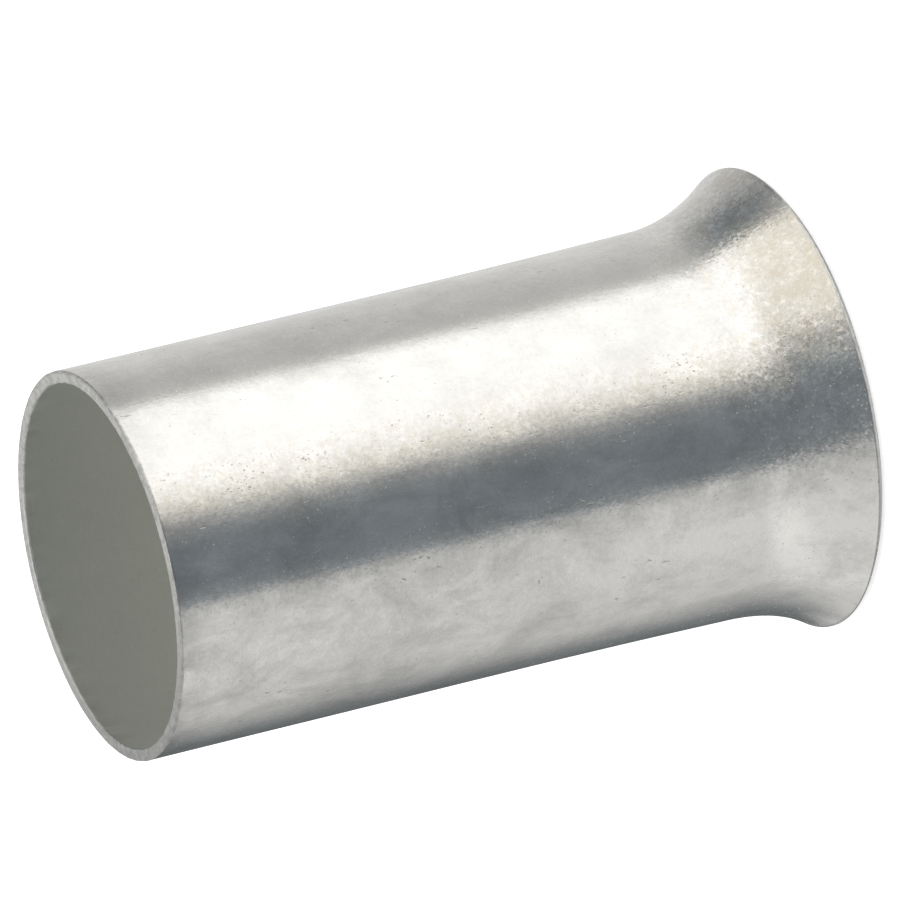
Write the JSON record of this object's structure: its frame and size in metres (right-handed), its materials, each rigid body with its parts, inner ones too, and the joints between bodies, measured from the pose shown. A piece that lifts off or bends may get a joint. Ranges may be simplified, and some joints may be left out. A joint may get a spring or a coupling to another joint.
{
  "type": "wire ferrule",
  "caption": "Plain tinned copper end sleeve for stranded wire: a thin straight tube with a square-cut end and a flared bell mouth.",
  "frame": {"origin": "on the axis, in the plane of the flared mouth's rim, which the part stands on", "axes": "+Z along the axis from the flared mouth to the square-cut end; X and Y are free, because the part is round"},
  "size_m": [0.0078, 0.0076, 0.012],
  "materials": {
    "tinned_copper": "electro-tinned copper, satin and slightly mottled, with a matte grey inside"
  },
  "bodies": {
    "root": {"ferrule_sleeve": "tinned_copper"}
  },
  "joints": []
}
